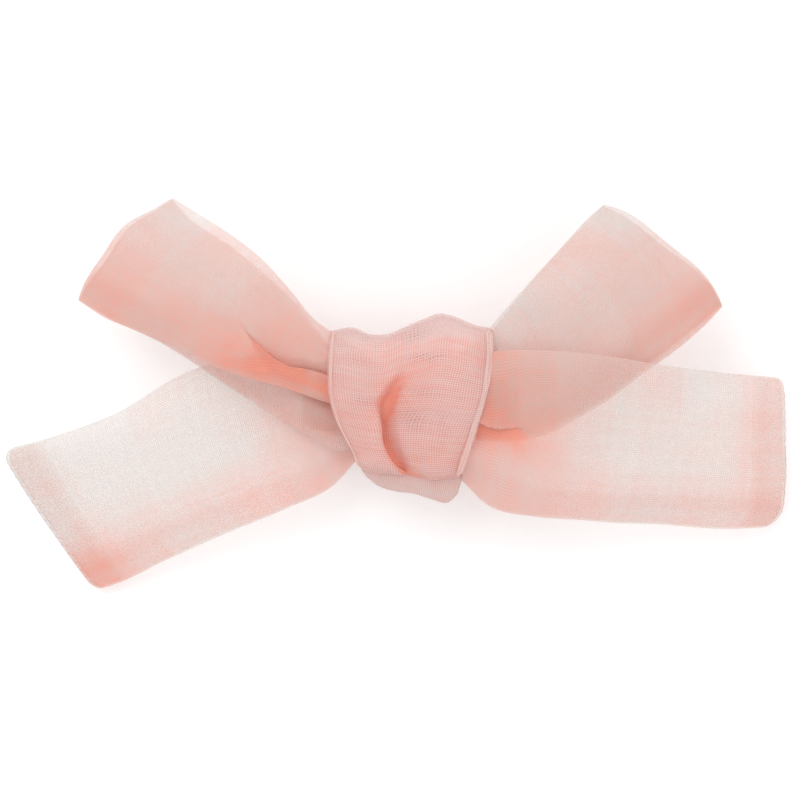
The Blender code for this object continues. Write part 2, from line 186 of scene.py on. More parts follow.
RIGHT_LOOP = {
    "upper": [(5.5, 7.2, 12.2), (11.2, 10.6, 12.6), (14.6, 14.6, 13.6), (21.0, 21.7, 15.9),
              (25.9, 26.7, 16.4), (29.7, 30.6, 14.8), (31.0, 31.9, 12.4), (29.4, 30.7, 10.2),
              (24.9, 25.9, 9.4), (18.3, 18.4, 9.4), (10.9, 9.5, 9.5), (5.5, 6.0, 9.7)],
    "middle": [(5.5, 2.0, 12.1), (13.0, 3.8, 12.4), (19.5, 8.0, 13.6), (26.5, 13.2, 15.8),
               (33.5, 18.5, 17.0), (40.2, 23.4, 15.4), (42.6, 25.2, 12.2), (39.8, 22.8, 9.2),
               (32.5, 16.8, 8.4), (23.5, 9.6, 8.6), (13.5, 2.8, 9.2), (5.5, 1.5, 9.6)],
    "lower": [(5.5, -4.6, 11.8), (14.0, -5.9, 11.5), (22.0, -4.9, 11.4), (30.0, -0.4, 11.8),
              (39.2, 6.2, 12.9), (47.4, 12.9, 12.9), (50.2, 15.8, 11.2), (46.8, 13.0, 9.4),
              (38.5, 6.4, 8.6), (29.5, -0.2, 8.4), (14.5, -5.6, 8.9), (5.5, -4.8, 9.3)],
}
LEFT_TAIL = {
    "upper": [(-5.5, 5.5, 8.7), (-13.0, 6.6, 8.6), (-25.0, 8.2, 8.0), (-34.8, 5.9, 7.2),
              (-48.5, -1.6, 4.6), (-59.4, -5.5, 2.5), (-67.4, -7.6, 1.3)],
    "middle": [(-5.5, -0.5, 8.6), (-13.0, -2.0, 8.5), (-24.0, -4.6, 7.8), (-34.6, -8.6, 6.7),
               (-46.2, -13.4, 4.3), (-54.6, -17.2, 2.3), (-60.0, -19.2, 1.1)],
    "lower": [(-5.5, -5.6, 9.2), (-9.0, -9.4, 8.9), (-12.6, -13.2, 8.5), (-20.0, -16.8, 7.6),
              (-30.0, -21.0, 6.2), (-40.0, -25.4, 4.0), (-47.6, -29.1, 2.2), (-51.6, -30.4, 1.2)],
}
RIGHT_TAIL = {
    "upper": [(5.5, 6.4, 14.4), (12.5, 8.4, 15.2), (21.5, 8.8, 16.7), (31.0, 7.9, 17.0),
              (40.0, 6.5, 15.6), (51.0, 5.2, 10.0), (61.2, 4.4, 4.2)],
    "middle": [(5.5, -1.5, 14.4), (12.5, -3.0, 14.7), (22.0, -5.0, 14.8), (32.0, -6.0, 14.2),
               (41.5, -6.8, 12.0), (51.5, -7.2, 7.6), (61.6, -7.4, 3.0)],
    "lower": [(5.5, -9.8, 12.6), (8.6, -12.6, 12.4), (12.6, -16.2, 11.8), (20.0, -18.0, 11.0),
              (30.0, -18.9, 9.6), (40.0, -19.5, 7.6), (50.6, -20.2, 4.8), (61.2, -20.0, 2.1)],
}


def lengthwise(points):
    """How long a run's edge is, in mm."""
    samples = spline(points, np.linspace(0, 1, 200))
    return float(np.linalg.norm(np.diff(samples, axis=0), axis=1).sum())


def pleat(across, hold, size):
    """How far the cloth is pushed across the run by a pleat laid over at hold."""
    reach = 0.45
    most = 1.12 * size
    edge_margin = 0.12
    offsets = np.linspace(-reach, reach, 181)
    push = np.interp(offsets, [-reach, -size / 2, size / 2, reach], [0.0, most, -most, 0.0])
    kernel = np.hanning(13)
    push = np.convolve(np.pad(push, 6, mode="edge"), kernel / kernel.sum(), mode="valid")
    margin = np.clip(np.minimum(across, 1 - across) / edge_margin, 0, 1)
    return np.interp(across - hold, offsets, push, left=0.0, right=0.0) * margin


def fold_line(fold, along):
    """Where across the run a pleat lies, at each share of the way along."""
    places = np.array(fold["hold"])
    return np.interp(along, places[:, 0], places[:, 1])


def gathers(run_mm, across, reach, size, seed):
    """Folds that fan out of the knot and die away after reach mm."""
    rng = np.random.default_rng(seed)
    total = np.zeros_like(across)
    for count in (2.6, 4.3, 6.7):
        phase = rng.uniform(0, 6.28)
        drift = rng.uniform(-0.05, 0.05)
        fade = np.exp(-(run_mm / (reach * (3.4 / count) ** 0.5)) ** 1.6)
        wave = np.sin(FULL_TURN * count * across + phase + drift * run_mm)
        total += wave * fade * size / count * 3
    return total


def ripples(along_mm, across, size, seed):
    """The slow unevenness of crisp cloth that has been handled."""
    rng = np.random.default_rng(seed)
    total = np.zeros_like(across)
    for _ in range(9):
        turn = rng.uniform(0, 6.28)
        pitch = rng.uniform(9.0, 26.0)
        phase = rng.uniform(0, 6.28)
        place = (along_mm * math.cos(turn) + across * WIDTH * math.sin(turn)) * FULL_TURN / pitch
        total += np.sin(place + phase) * size * pitch / 60
    return total


def shaped(run, along, across, kind):
    """A ribbon run's middle surface with its pleats, gathers and ripples."""
    length = lengthwise(run["middle"])
    from_knot = along * length
    if kind["loop"]:
        from_knot = np.minimum(along, 1 - along) * length
    laid = across.copy()
    lift = np.zeros_like(across)
    for fold in kind["pleats"]:
        near = 1 - ease(fold["to"], fold["from"], along)
        hold = fold_line(fold, along)
        size = fold["size"]
        laid = laid + pleat(across, hold, size) * near
        over = ease(hold - size * 0.5, hold + size * 0.5, across)
        past = 1 - ease(hold + size * 0.5, 1.0, across)
        lift += near * fold["rise"] * over * (0.35 + 0.65 * past)
    points = middle_surface(run, along, laid)
    lift += gathers(from_knot, across, kind["reach"], kind["gather"], kind["seed"])
    lift += ripples(along * length, across, kind["ripple"], kind["seed"] + 1) * ease(
        0.0, 8.0, from_knot)
    return points, lift


def rounded_end(along, across, length, radii):
    """Pull the free end's corners in to a small curve, the lower one and the upper one."""
    edge = np.minimum(across, 1 - across) * WIDTH
    radius = np.where(across < 0.5, radii[0], radii[1])
    reach = np.clip(radius - edge, 0, None)
    dip = radius - np.sqrt(np.clip(radius ** 2 - reach ** 2, 0, None))
    return along * (1 - dip / length)


def ribbon(name, run, kind, rows, half_columns, span=(0.0, 1.0), side=(0.0, 1.0), gap=PLY_GAP,
           corner=None):
    """A closed flat tube of ribbon along a run: two plies with folded edges."""
    columns = half_columns * 2 + 1
    obj, row, column = grid_of(name, rows, columns)
    turn = column * 2
    front = turn <= 1.0
    level = np.where(front, turn, 2.0 - turn)
    level = side[0] + (side[1] - side[0]) * (0.5 - 0.5 * np.cos(level * math.pi)) ** 0.86
    along = span[0] + (span[1] - span[0]) * row
    length = lengthwise(run["middle"])
    if corner:
        along_used = rounded_end(along, level, length, corner)
    else:
        along_used = along
    points, lift = shaped(run, along_used, level, kind)
    normal = run_normals(run, along_used, level)
    inside = np.clip((level - side[0]) / (side[1] - side[0]), 0, 1)
    full = np.clip(1 - np.abs(2 * inside - 1) ** 5, 0, 1) ** 0.5
    ends = np.clip(np.minimum(row, 1 - row) * (span[1] - span[0]) * length / 1.2, 0, 1) ** 0.5
    uneven = 1 + 0.45 * np.sin(along * length * 0.41 + level * 5 + kind["seed"])
    apart = gap * full * ends * uneven * np.where(front, 0.5, -0.5)
    set_points(obj, points + normal * (lift + apart)[:, None])
    set_uv(obj, along * length, np.where(front, level, 2 - level) * WIDTH)
    soft = kind["layer_shade"](along, level) if kind.get("layer_shade") else np.zeros_like(level)
    set_layers_and_shade(obj, soft)
    merge_doubles(obj, 0.004)
    smooth(obj)
    return obj


def run_normals(run, along, across):
    """Normals of the plain run, by small steps along and across it."""
    ahead = middle_surface(run, np.clip(along + SMALL_STEP, 0, 1), across)
    behind = middle_surface(run, np.clip(along - SMALL_STEP, 0, 1), across)
    up = middle_surface(run, along, np.clip(across + SMALL_STEP, 0, 1))
    down = middle_surface(run, along, np.clip(across - SMALL_STEP, 0, 1))
    normal = np.cross(ahead - behind, up - down)
    return normal / (np.linalg.norm(normal, axis=1, keepdims=True) + 1e-9)


# ---------------------------------------------------------------- materials

def new_material(name):
    """A node material, its tree and its Principled shader."""
    material = bpy.data.materials.new(name)
    material.use_nodes = True
    tree = material.node_tree
    return material, tree, tree.nodes["Principled BSDF"]


def maths(tree, operation, first, second=None, third=None):
    """One Math node. Sockets are linked and numbers are set."""
    node = tree.nodes.new("ShaderNodeMath")
    node.operation = operation
    for i, value in enumerate((first, second, third)):
        if value is None:
            continue
        if isinstance(value, (int, float)):
            node.inputs[i].default_value = value
        else:
            tree.links.new(value, node.inputs[i])
    return node.outputs[0]


def weave_group():
    """A plain sheer weave on UV: how much yarn covers each spot, its height and slow streaks."""
    group = bpy.data.node_groups.new("sheer_weave", "ShaderNodeTree")
    face = group.interface
    face.new_socket("Yarn pitch mm", in_out="INPUT", socket_type="NodeSocketFloat")
    for output in ("Cover", "Height", "Streaks", "Blush", "Rows"):
        face.new_socket(output, in_out="OUTPUT", socket_type="NodeSocketFloat")
    nodes, links = group.nodes, group.links
    into = nodes.new("NodeGroupInput")
    out = nodes.new("NodeGroupOutput")
    uv = nodes.new("ShaderNodeUVMap")
    wander = nodes.new("ShaderNodeTexNoise")
    wander.inputs["Scale"].default_value = 14.0
    wander.inputs["Detail"].default_value = 1.0
    links.new(uv.outputs["UV"], wander.inputs["Vector"])
    split = nodes.new("ShaderNodeSeparateXYZ")
    links.new(uv.outputs["UV"], split.inputs["Vector"])
    shift = maths(group, "MULTIPLY", maths(group, "SUBTRACT", wander.outputs["Fac"], 0.5), 0.012)
    turns = maths(group, "DIVIDE", 100.0 * 2 * math.pi, into.outputs["Yarn pitch mm"])
    yarns = []
    for axis in ("X", "Y"):
        place = maths(group, "ADD", split.outputs[axis], shift)
        wave = maths(group, "SINE", maths(group, "MULTIPLY", place, turns))
        yarns.append(maths(group, "MULTIPLY_ADD", wave, 0.5, 0.5))
    open_share = maths(group, "MULTIPLY", maths(group, "SUBTRACT", 1.0, yarns[0]),
                       maths(group, "SUBTRACT", 1.0, yarns[1]))
    cover = maths(group, "SUBTRACT", 1.0, maths(group, "POWER", open_share, 0.75))
    height = maths(group, "MAXIMUM", yarns[0], yarns[1])
    streaks = []
    for stretch in ((3.0, 70.0, 1.0), (70.0, 3.0, 1.0), (190.0, 14.0, 1.0)):
        scale = nodes.new("ShaderNodeMapping")
        scale.inputs["Scale"].default_value = stretch
        links.new(uv.outputs["UV"], scale.inputs["Vector"])
        noise = nodes.new("ShaderNodeTexNoise")
        noise.inputs["Scale"].default_value = 1.0
        noise.inputs["Detail"].default_value = 3.0
        links.new(scale.outputs["Vector"], noise.inputs["Vector"])
        streaks.append(noise.outputs["Fac"])
    slow = maths(group, "MULTIPLY", maths(group, "ADD", streaks[0], streaks[1]), 0.5)
    blush = nodes.new("ShaderNodeTexNoise")
    blush.inputs["Scale"].default_value = 6.5
    blush.inputs["Detail"].default_value = 2.0
    links.new(uv.outputs["UV"], blush.inputs["Vector"])
    links.new(blush.outputs["Fac"], out.inputs["Blush"])
    links.new(cover, out.inputs["Cover"])
    links.new(height, out.inputs["Height"])
    links.new(slow, out.inputs["Streaks"])
    links.new(streaks[2], out.inputs["Rows"])
    return group


def paint_hollow_shade(tree, weave, colour):
    """Painted shade: dark greyish-pink specks where the wrap's weave opens, standing in for the
    shadowed space behind the knot's face.
    """
    nodes, links = tree.nodes, tree.links
    coarse = nodes.new("ShaderNodeGroup")
    coarse.node_tree = weave
    coarse.inputs["Yarn pitch mm"].default_value = OPEN_PITCH
    hollow_shade = nodes.new("ShaderNodeAttribute")
    hollow_shade.attribute_name = "hollow_shade"
    specks = nodes.new("ShaderNodeMapRange")
    specks.inputs["From Min"].default_value = 0.62
    specks.inputs["From Max"].default_value = 0.20
    links.new(coarse.outputs["Cover"], specks.inputs["Value"])
    shade_mix = nodes.new("ShaderNodeMix")
    shade_mix.data_type = "RGBA"
    # the painted shade's colour: the dark space behind the open weave
    shade_mix.inputs["B"].default_value = (0.30, 0.19, 0.20, 1.0)
    links.new(colour.outputs["Result"], shade_mix.inputs["A"])
    links.new(maths(tree, "MULTIPLY", specks.outputs["Result"], hollow_shade.outputs["Fac"]),
              shade_mix.inputs["Factor"])
    return shade_mix


def organza(name, weave, pale, deep, thin, thick, extra=0.3, fade=0.3, blush=0.55,
            rows=0.0, painted_hollow_shade=False):
    """Sheer crisp ribbon: mostly open between its yarns, deeper where more cloth lies together and
    where shade is painted in through the layers_and_shade attribute.
    """
    material, tree, shader = new_material(name)
    nodes, links = tree.nodes, tree.links
    cloth = nodes.new("ShaderNodeGroup")
    cloth.node_tree = weave
    cloth.inputs["Yarn pitch mm"].default_value = YARN_PITCH
    # reads stacked cloth and painted shade from one point attribute
    layer_shade = nodes.new("ShaderNodeAttribute")
    layer_shade.attribute_name = "layers_and_shade"
    colour = nodes.new("ShaderNodeMix")
    colour.data_type = "RGBA"
    colour.inputs["A"].default_value = (*pale, 1.0)
    colour.inputs["B"].default_value = (*deep, 1.0)
    tone = maths(tree, "MULTIPLY_ADD", maths(tree, "SUBTRACT", cloth.outputs["Streaks"], 0.5), 1.1,
                 0.35)
    tone = maths(tree, "ADD", tone, maths(tree, "MULTIPLY", layer_shade.outputs["Fac"], blush))
    tone = maths(tree, "MULTIPLY_ADD", maths(tree, "SUBTRACT", cloth.outputs["Blush"], 0.5), 1.0,
                 tone)
    if rows:
        tone = maths(tree, "MULTIPLY_ADD", maths(tree, "SUBTRACT", cloth.outputs["Rows"], 0.5),
                     rows, tone)
    clamp = nodes.new("ShaderNodeClamp")
    links.new(tone, clamp.inputs["Value"])
    links.new(clamp.outputs["Result"], colour.inputs["Factor"])
    if painted_hollow_shade:
        colour = paint_hollow_shade(tree, weave, colour)
    links.new(colour.outputs["Result"], shader.inputs["Base Color"])
    spread = maths(tree, "MULTIPLY_ADD", cloth.outputs["Cover"], thick - thin, thin)
    uneven = maths(tree, "MULTIPLY_ADD", maths(tree, "SUBTRACT", cloth.outputs["Streaks"], 0.5),
                   0.5, 1.0)
    spread = maths(tree, "MULTIPLY", spread, uneven)
    spread = maths(tree, "MULTIPLY_ADD", maths(tree, "MAXIMUM", layer_shade.outputs["Fac"], 0.0), extra,
                   spread)
    spread = maths(tree, "MULTIPLY_ADD", maths(tree, "MINIMUM", layer_shade.outputs["Fac"], 0.0), fade,
                   spread)
    limit = nodes.new("ShaderNodeClamp")
    links.new(spread, limit.inputs["Value"])
    through = nodes.new("ShaderNodeBsdfTranslucent")
    links.new(colour.outputs["Result"], through.inputs["Color"])
    body = nodes.new("ShaderNodeMixShader")
    body.inputs["Fac"].default_value = THROUGH
    links.new(shader.outputs["BSDF"], body.inputs[1])
    links.new(through.outputs["BSDF"], body.inputs[2])
    clear = nodes.new("ShaderNodeBsdfTransparent")
    sheer = nodes.new("ShaderNodeMixShader")
    links.new(limit.outputs["Result"], sheer.inputs["Fac"])
    links.new(clear.outputs["BSDF"], sheer.inputs[1])
    links.new(body.outputs["Shader"], sheer.inputs[2])
    links.new(sheer.outputs["Shader"], nodes["Material Output"].inputs["Surface"])
    bump = nodes.new("ShaderNodeBump")
    bump.inputs["Strength"].default_value = 0.25
    bump.inputs["Distance"].default_value = 0.00006
    links.new(cloth.outputs["Height"], bump.inputs["Height"])
    links.new(bump.outputs["Normal"], shader.inputs["Normal"])
    shader.inputs["Roughness"].default_value = 0.62
    shader.inputs["Sheen Weight"].default_value = 0.12
    shader.inputs["Sheen Roughness"].default_value = 0.4
    shader.inputs["Specular IOR Level"].default_value = 0.25
    return material


def metal(name, colour, low, high, scale):
    """Plated steel with faint drawn streaks and wear in its roughness."""
    material, tree, shader = new_material(name)
    place = tree.nodes.new("ShaderNodeTexCoord")
    stretch = tree.nodes.new("ShaderNodeMapping")
    stretch.inputs["Scale"].default_value = scale
    noise = tree.nodes.new("ShaderNodeTexNoise")
    noise.inputs["Scale"].default_value = 1.0
    noise.inputs["Detail"].default_value = 4.0
    span = tree.nodes.new("ShaderNodeMapRange")
    span.inputs["From Min"].default_value = 0.3
    span.inputs["From Max"].default_value = 0.7
    span.inputs["To Min"].default_value = low
    span.inputs["To Max"].default_value = high
    ramp = tree.nodes.new("ShaderNodeMix")
    ramp.data_type = "RGBA"
    ramp.inputs["A"].default_value = (*colour, 1.0)
    ramp.inputs["B"].default_value = (*[c * 0.8 for c in colour], 1.0)
    bump = tree.nodes.new("ShaderNodeBump")
    bump.inputs["Strength"].default_value = 0.12
    bump.inputs["Distance"].default_value = 0.00003
    tree.links.new(place.outputs["Object"], stretch.inputs["Vector"])
    tree.links.new(stretch.outputs["Vector"], noise.inputs["Vector"])
    tree.links.new(noise.outputs["Fac"], span.inputs["Value"])
    tree.links.new(noise.outputs["Fac"], ramp.inputs["Factor"])
    tree.links.new(noise.outputs["Fac"], bump.inputs["Height"])
    tree.links.new(ramp.outputs["Result"], shader.inputs["Base Color"])
    tree.links.new(span.outputs["Result"], shader.inputs["Roughness"])
    tree.links.new(bump.outputs["Normal"], shader.inputs["Normal"])
    shader.inputs["Metallic"].default_value = 1.0
    return material


def matt(name, colour, roughness, mottle, size, coat=0.0):
    """A plain body with soft mottling in its colour."""
    material, tree, shader = new_material(name)
    place = tree.nodes.new("ShaderNodeTexCoord")
    noise = tree.nodes.new("ShaderNodeTexNoise")
    noise.inputs["Scale"].default_value = size
    noise.inputs["Detail"].default_value = 3.0
    mix = tree.nodes.new("ShaderNodeMix")
    mix.data_type = "RGBA"
    mix.inputs["A"].default_value = (*colour, 1.0)
    mix.inputs["B"].default_value = (*[c * (1 - mottle) for c in colour], 1.0)
    tree.links.new(place.outputs["Object"], noise.inputs["Vector"])
    tree.links.new(noise.outputs["Fac"], mix.inputs["Factor"])
    tree.links.new(mix.outputs["Result"], shader.inputs["Base Color"])
    shader.inputs["Roughness"].default_value = roughness
    shader.inputs["Coat Weight"].default_value = coat
    return material


def dress(obj, material):
    """Give a piece its one material."""
    obj.data.materials.clear()
    obj.data.materials.append(material)


# ---------------------------------------------------------------- the knot

KNOT_TOP = [(-12.9, 12.0), (-9.7, 12.5), (-6.1, 11.5), (-3.2, 11.4), (-0.8, 12.7), (2.4, 13.9),
            (4.2, 14.8), (8.1, 13.7), (10.5, 12.9), (13.3, 12.2)]
KNOT_BOTTOM = [(-9.2, -9.0), (-8.0, -10.7), (-6.2, -11.3), (-3.8, -11.4), (-1.4, -11.2),
               (0.6, -11.8), (2.8, -12.2), (4.8, -12.2), (6.4, -12.0), (7.8, -11.6)]
LEFT_EDGE = [(-12.9, 12.6), (-13.3, 6.1), (-13.2, 1.0), (-12.1, -3.6), (-10.4, -7.2), (-9.2, -9.6),
             (-8.8, -12.4)]
RIGHT_EDGE = [(13.3, 15.0), (13.4, 6.5), (12.7, 2.2), (11.2, -3.2), (9.3, -8.4), (7.8, -12.4)]
CREASE = [(0.9, 15.0), (0.3, 8.6), (-0.9, 5.4), (-2.6, 3.0), (-3.9, 0.6), (-4.3, -1.3),
          (-4.4, -3.5), (-4.2, -5.7), (-3.5, -7.6), (-2.2, -9.7), (-0.5, -11.2), (0.5, -12.4)]
# painted shade spots: x, y, width, height, tilt and strength of each dark patch where the knot's
# open weave shows the shadowed space behind its face
HOLLOW_SHADE_SPOTS = [(0.6, 11.2, 2.6, 0.9, 0.35, 1.0), (2.6, 7.8, 2.9, 0.7, 0.0, 0.9),
           (0.6, -2.2, 2.4, 1.6, -0.2, 0.85), (5.2, -2.6, 1.2, 2.0, 0.3, 0.35),
           (-9.0, 7.2, 2.6, 0.6, -0.25, 0.45), (-7.6, 0.6, 2.8, 0.7, -0.3, 0.45),
           (2.0, 2.0, 2.6, 0.8, -0.2, 0.5)]
KNOT_BACK = 7.4           # height of the wrap's back, on the glue
KNOT_MIDDLE = 11.4
KNOT_FACE_TOP = 12.4
KNOT_FACE_TALL = 24.0
LAID_OVER = (-4.0, 1.5)   # between these levels the left lobe comes to lie over the right one
ONCE_ROUND = 6.2832
FOUR_TIMES_ROUND = 25.1327


def knot_section(level):
    """Across the knot's face at a height up the bow: the left lobe laid over the right one."""
    left = float(spline(LEFT_EDGE, level, key=1)[0, 0])
    right = float(spline(RIGHT_EDGE, level, key=1)[0, 0])
    fold = float(spline(CREASE, level, key=1)[0, 0])
    valley = float(1 - ease(0.5, 7.0, np.array(level)))
    laid = float(1 - ease(*LAID_OVER, np.array(level)))
    one = fold - left
    two = right - fold
    plain = [(-1.6, 17.3), (-1.2, 17.4), (-0.9, 17.4), (-0.6, 17.5), (-0.3, 17.5), (0.0, 17.55),
             (0.3, 17.6), (0.7, 17.7), (1.3, 17.9), (2.3, 18.2)]
    dip = [(-1.7, 16.7), (-1.3, 16.3), (-1.0, 16.0), (-0.7, 15.6), (-0.45, 15.3), (-0.15, 15.05),
           (0.15, 14.95), (0.6, 15.1), (1.3, 15.8), (2.3, 17.1)]
    over = [(-0.8, 16.95), (-0.25, 16.8), (0.0, 16.4), (-0.3, 16.0), (-1.2, 15.5), (-2.0, 15.0),
            (-1.2, 14.5), (0.3, 14.4), (1.3, 15.4), (2.4, 17.0)]
    middle = (np.array(plain) * (1 - valley)
              + valley * (np.array(dip) * (1 - laid) + np.array(over) * laid))
    points = [(left, 13.4), (left + 0.25, 15.0), (left + one * 0.14, 16.0),
              (left + one * 0.42, 16.8), (left + one * 0.72, 17.0)]
    points += [(fold + x, z) for x, z in middle]
    points += [(fold + two * 0.40, 18.6), (fold + two * 0.65, 18.9), (fold + two * 0.85, 17.8),
               (right - 0.45, 16.6), (right, 15.0)]
    return np.array([(x, 0.0, z) for x, z in points])


def knot_place(around, across):
    """Points of the wrap at one share of the way round, from its top fold down over the face."""
    over = around <= 0.5
    down = float(np.interp(around if over else 1 - around, [0.0, 0.07, 0.43, 0.5],
                           [0.0, 0.05, 0.95, 1.0]))
    lift = abs(math.sin(around * 2 * math.pi)) ** 0.5
    top = spline(KNOT_TOP, across)[:, 1]
    bottom = spline(KNOT_BOTTOM, across)[:, 1]
    y = top + (bottom - top) * down
    level = KNOT_FACE_TOP - KNOT_FACE_TALL * down
    folds = knot_section(level)
    left, right = folds[0, 0], folds[-1, 0]
    section = spline(folds, across)
    plain = left + (right - left) * across
    if over:
        x = plain + (section[:, 0] - plain) * float(ease(0.0, 0.45, np.array(lift)))
        z = KNOT_MIDDLE + (section[:, 2] - KNOT_MIDDLE) * lift
    else:
        x = plain
        z = KNOT_MIDDLE - (KNOT_MIDDLE - KNOT_BACK) * lift * np.ones(len(across))
    return np.stack([x, y, z], axis=1)


def knot_sheet(name, rows, half_columns, material):
    """The wrap, two plies: over the face with its deep crease, round both folds, along the back."""
    columns = half_columns * 2 + 1
    obj, row, column = grid_of(name, rows, columns)
    turn = column * 2
    front = turn <= 1.0
    across = np.where(front, turn, 2.0 - turn)
    outer = np.zeros((len(row), 3))
    for value in np.unique(np.round(row, 6)):
        picked = np.where(np.abs(row - value) < 1e-5)[0]
        outer[picked] = knot_place(float(value), across[picked])
    normal = -np.cross(*knot_slopes(row, across))
    normal /= np.linalg.norm(normal, axis=1, keepdims=True) + 1e-9
    full = np.clip(1 - np.abs(2 * across - 1) ** 7, 0, 1) ** 0.5
    inward = np.where(front, 0.0, 0.42 * full)
    wobble = 0.10 * np.sin(across * 31 + 2 * np.sin(row * ONCE_ROUND)) * np.sin(
        row * FOUR_TIMES_ROUND + 1.3)
    set_points(obj, outer - normal * (inward + wobble)[:, None])
    set_uv(obj, row * WRAP_LENGTH, turn * WIDTH)
    set_layers_and_shade(obj, knot_layers_and_crease_shade(outer) * (row <= 0.5))
    # painted shade of the dark space behind the open weave, on the face only
    hollow_shade = obj.data.attributes.new("hollow_shade", "FLOAT", "POINT")
    hollow_shade.data.foreach_set("value", (knot_hollow_shade(outer) * (row <= 0.5)).astype(np.float32))
    merge_doubles(obj, 0.006)
    dress(obj, material)
    smooth(obj)
    return obj


def knot_layers_and_crease_shade(places):
    """Where the wrap's cloth lies deep in the crease, deepened further as painted shade, and where
    its top is thin.
    """
    side = places[:, 0] - spline(CREASE, places[:, 1], key=1)[:, 0]
    laid = 1 - ease(*LAID_OVER, places[:, 1])
    sharp = np.exp(-(side / np.where(side > 0, 2.0, 0.30)) ** 2)
    soft = np.exp(-((side - 0.3) / 1.7) ** 2)
    foot = 1 + 0.5 * (1 - ease(-11.5, -6.0, places[:, 1]))
    # the crease's deeper tone is partly stacked cloth and partly painted shade
    crease = (soft * (1 - laid) + sharp * laid) * (1 - ease(1.0, 6.5, places[:, 1])) * foot
    thin = ease(8.6, 12.6, places[:, 1] - 0.10 * places[:, 0])
    return 1.25 * crease - 0.75 * thin


def knot_hollow_shade(places):
    """Painted shade: where the folded weave opens onto the shadowed space behind the knot's face.
    """
    total = np.zeros(len(places))
    for x, y, wide, tall, tilt, share in HOLLOW_SHADE_SPOTS:
        u = (places[:, 0] - x) * math.cos(tilt) + (places[:, 1] - y) * math.sin(tilt)
        v = -(places[:, 0] - x) * math.sin(tilt) + (places[:, 1] - y) * math.cos(tilt)
        total += share * np.exp(-(u / wide) ** 2 - (v / tall) ** 2)
    return np.clip(total, 0, 1)


def knot_slopes(row, across):
    """Directions round and across the wrap at each point."""
    round_way = np.zeros((len(row), 3))
    cross_way = np.zeros((len(row), 3))
    for value in np.unique(np.round(row, 6)):
        picked = np.where(np.abs(row - value) < 1e-5)[0]
        level = across[picked]
        ahead = knot_place((float(value) + SMALL_STEP) % 1.0, level)
        behind = knot_place((float(value) - SMALL_STEP) % 1.0, level)
        high = knot_place(float(value), np.clip(level + SMALL_STEP, 0, 1))
        low = knot_place(float(value), np.clip(level - SMALL_STEP, 0, 1))
        round_way[picked] = ahead - behind
        cross_way[picked] = high - low
    return cross_way, round_way


def knot_rim(name, material, across, width, lift):
    """A narrow folded edge of the wrap that stands up from its face down one side."""
    rows, columns = 90, 17
    obj, row, column = grid_of(name, rows, columns)
    angle = column * 2 * math.pi
    places = np.zeros((len(row), 3))
    for value in np.unique(np.round(row, 6)):
        picked = np.where(np.abs(row - value) < 1e-5)[0]
        around = 0.045 + 0.43 * float(value)
        base = knot_place(around, np.array([across - 0.03, across, across + 0.03]))
        out = (base[2] - base[0]) / np.linalg.norm(base[2] - base[0])
        wide = width * (1 + 0.16 * math.sin(9 * value) + 0.10 * math.sin(23 * value + 1))
        wide *= min(1.0, 14 * min(value + 0.01, 1.01 - value))
        up = np.array([-out[2], 0.0, out[0]])
        groove = 0.7 + 0.3 * np.abs(np.cos(angle[picked]))
        places[picked] = (base[1] + up * lift
                          + out * (np.cos(angle[picked]) * wide)[:, None]
                          + up * (np.sin(angle[picked]) * groove * 0.20)[:, None])
    set_points(obj, places)
    set_uv(obj, row * 26.0, column * 2.4)
    set_layers_and_shade(obj, np.zeros(len(row)))
    merge_doubles(obj, 0.006)
    dress(obj, material)
    smooth(obj)
    return obj


FLAP = {
    "upper": [(-8.3, -9.4, 11.6), (-4.0, -9.2, 11.9), (0.6, -9.2, 12.0), (5.0, -9.6, 12.2),
              (8.6, -10.2, 12.2)],
    "middle": [(-7.7, -10.6, 11.5), (-3.6, -11.4, 12.2), (0.6, -12.0, 12.5), (4.6, -12.8, 12.8),
               (8.2, -12.6, 12.6)],
    "lower": [(-7.0, -11.6, 11.0), (-4.8, -13.2, 11.2), (-2.2, -13.9, 11.3), (0.6, -14.2, 11.4),
              (3.2, -15.0, 11.6), (6.2, -15.6, 11.7), (7.6, -14.2, 11.9)],
}


# ---------------------------------------------------------------- small pieces

def wire(name, points, radius, material, sides=2):
    """A round wire or thread through points in mm, as a mesh."""
    curve = bpy.data.curves.new(name, "CURVE")
    curve.dimensions = "3D"
    curve.bevel_depth = radius * MM
    curve.bevel_resolution = sides
    curve.use_fill_caps = True
    line = curve.splines.new("POLY")
    line.points.add(len(points) - 1)
    for point, place in zip(line.points, points):
        point.co = (place[0] * MM, place[1] * MM, place[2] * MM, 1.0)
    obj = bpy.data.objects.new(name, curve)
    bpy.context.scene.collection.objects.link(obj)
    alone(obj)
    bpy.ops.object.convert(target="MESH")
    obj = bpy.context.active_object
    obj.name = name
    merge_doubles(obj, 0.004)
    dress(obj, material)
    smooth(obj)
    return obj


def whip_stitches(name, run, corner, material, bite):
    """Hand stitches over a tail's closed end: short bites with a little thread between them."""
    length = lengthwise(run["middle"])
    count = 150
    across = np.linspace(0.09, 0.91, count)
    along = rounded_end(np.ones(count), across, length, corner)
    edge = middle_surface(run, along, across)
    inner = middle_surface(run, along - 0.02, across)
    out = edge - inner
    out /= np.linalg.norm(out, axis=1, keepdims=True)
    turn = np.arange(count) / 11.0 * 2 * math.pi
    places = edge + out * (bite * (np.cos(turn) - 1.15))[:, None]
    places[:, 2] += 0.75 * bite * np.sin(turn)
    return wire(name, [tuple(p) for p in places], STITCH_R, material, sides=1)


# ---------------------------------------------------------------- build

